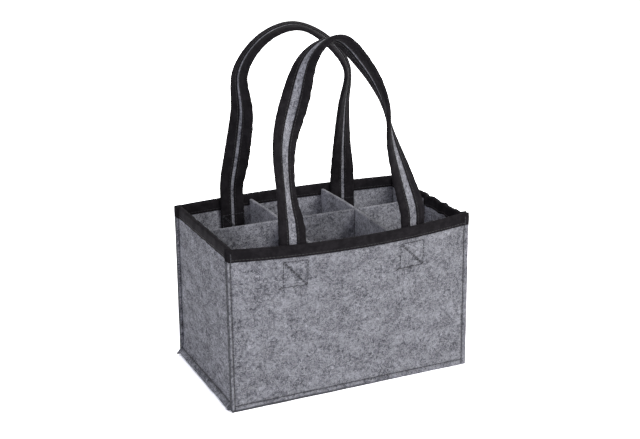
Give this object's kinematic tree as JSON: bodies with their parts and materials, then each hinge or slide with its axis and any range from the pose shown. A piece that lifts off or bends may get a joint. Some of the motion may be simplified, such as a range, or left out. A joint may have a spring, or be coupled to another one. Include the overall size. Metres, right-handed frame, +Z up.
{
  "type": "six pack carrier",
  "caption": "Open-topped felt carrier with a bound rim, a loose crossed divider insert and upright carrying handles with a bare felt stripe.",
  "frame": {"origin": "middle of the bounding box, on the floor that the carrier stands on", "axes": "+X to the right along the length, +Y from the front panel to the back panel, +Z up"},
  "size_m": [0.245, 0.1684, 0.3327],
  "materials": {
    "felt": "mottled grey felt",
    "tape": "black woven binding tape"
  },
  "bodies": {
    "bag": {"front_panel": "felt", "back_panel": "felt", "left_panel": "felt", "right_panel": "felt", "base_panel": "felt", "rim_tape_front": "tape", "rim_tape_back": "tape", "rim_tape_left": "tape", "rim_tape_right": "tape", "front_handle_end_felt": "felt", "front_handle_end_tape": "tape", "back_handle_end_felt": "felt", "back_handle_end_tape": "tape"},
    "divider_insert": {"divider_long": "felt", "divider_cross_left": "felt", "divider_cross_right": "felt"},
    "front_handle": {"front_handle_felt": "felt", "front_handle_outer_tape": "tape", "front_handle_inner_tape": "tape"},
    "back_handle": {"back_handle_felt": "felt", "back_handle_outer_tape": "tape", "back_handle_inner_tape": "tape"}
  },
  "joints": [
    {"name": "front_handle_swing", "type": "hinge", "parent": "bag", "child": "front_handle", "pos_m": [0, -0.0744, 0.1573], "axis": [1, 0, 0], "range_deg": [-13, 90], "stiffness_Nm_per_rad": 0.1},
    {"name": "back_handle_swing", "type": "hinge", "parent": "bag", "child": "back_handle", "pos_m": [0, 0.0744, 0.1573], "axis": [-1, 0, 0], "range_deg": [-15, 90], "stiffness_Nm_per_rad": 0.1},
    {"name": "insert_lift", "type": "slide", "parent": "bag", "child": "divider_insert", "axis": [0, 0, 1], "range_m": [0, 0.038]}
  ]
}
